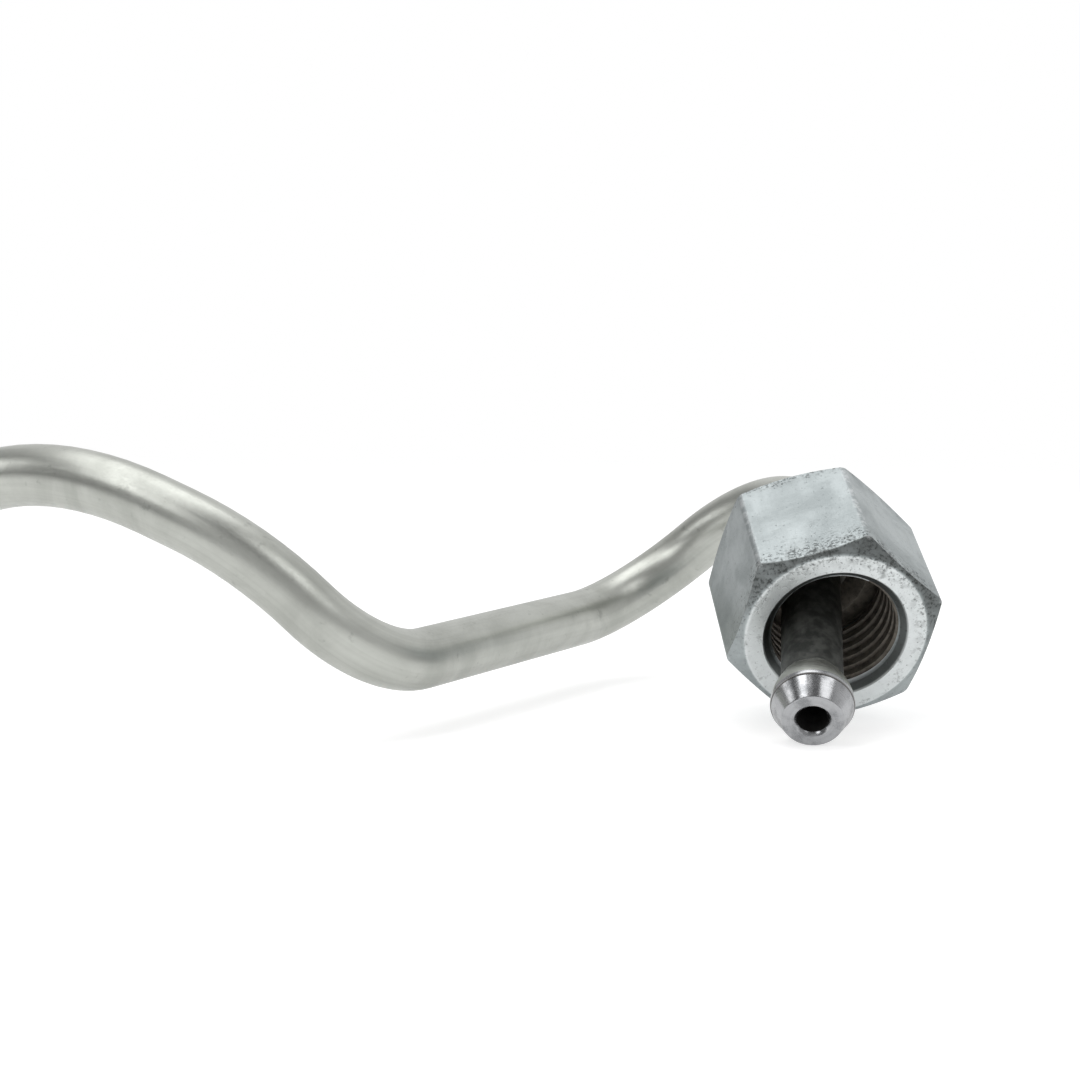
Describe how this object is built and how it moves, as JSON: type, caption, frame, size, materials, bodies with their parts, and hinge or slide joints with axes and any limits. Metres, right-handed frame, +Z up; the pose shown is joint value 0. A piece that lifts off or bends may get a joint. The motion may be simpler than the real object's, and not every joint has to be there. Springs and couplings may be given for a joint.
{
  "type": "fuel injector line",
  "caption": "Bent steel pipe that carries high-pressure fuel from an injection pump to an injector, with a formed sealing cone and a captive hexagonal union nut at each end.",
  "frame": {"origin": "middle of the footprint, on the plane that the line rests on", "axes": "+Z up, +X along the line from the pump end to the injector end, +Y away from the side that the injector end faces"},
  "size_m": [0.2058, 0.0674, 0.028],
  "materials": {
    "pipe_steel": "satin drawn steel tube with a thin dull plating, ground bright on the cones",
    "zinc_plated_steel": "clear zinc plating, satin, with small handling marks at the corners"
  },
  "bodies": {
    "pipe": {"fuel_pipe": "pipe_steel"},
    "injector_end_nut": {"injector_nut": "zinc_plated_steel"},
    "pump_end_nut": {"pump_nut": "zinc_plated_steel"}
  },
  "joints": [
    {"name": "injector_nut_turns", "type": "hinge", "parent": "pipe", "child": "injector_end_nut", "pos_m": [0.09152, -0.00851, 0.01547], "axis": [0.0598, -0.9006, -0.4305], "continuous": true},
    {"name": "pump_nut_turns", "type": "hinge", "parent": "pipe", "child": "pump_end_nut", "pos_m": [-0.09505, 0.02271, 0.0095], "axis": [-1, 0, 0], "continuous": true}
  ]
}
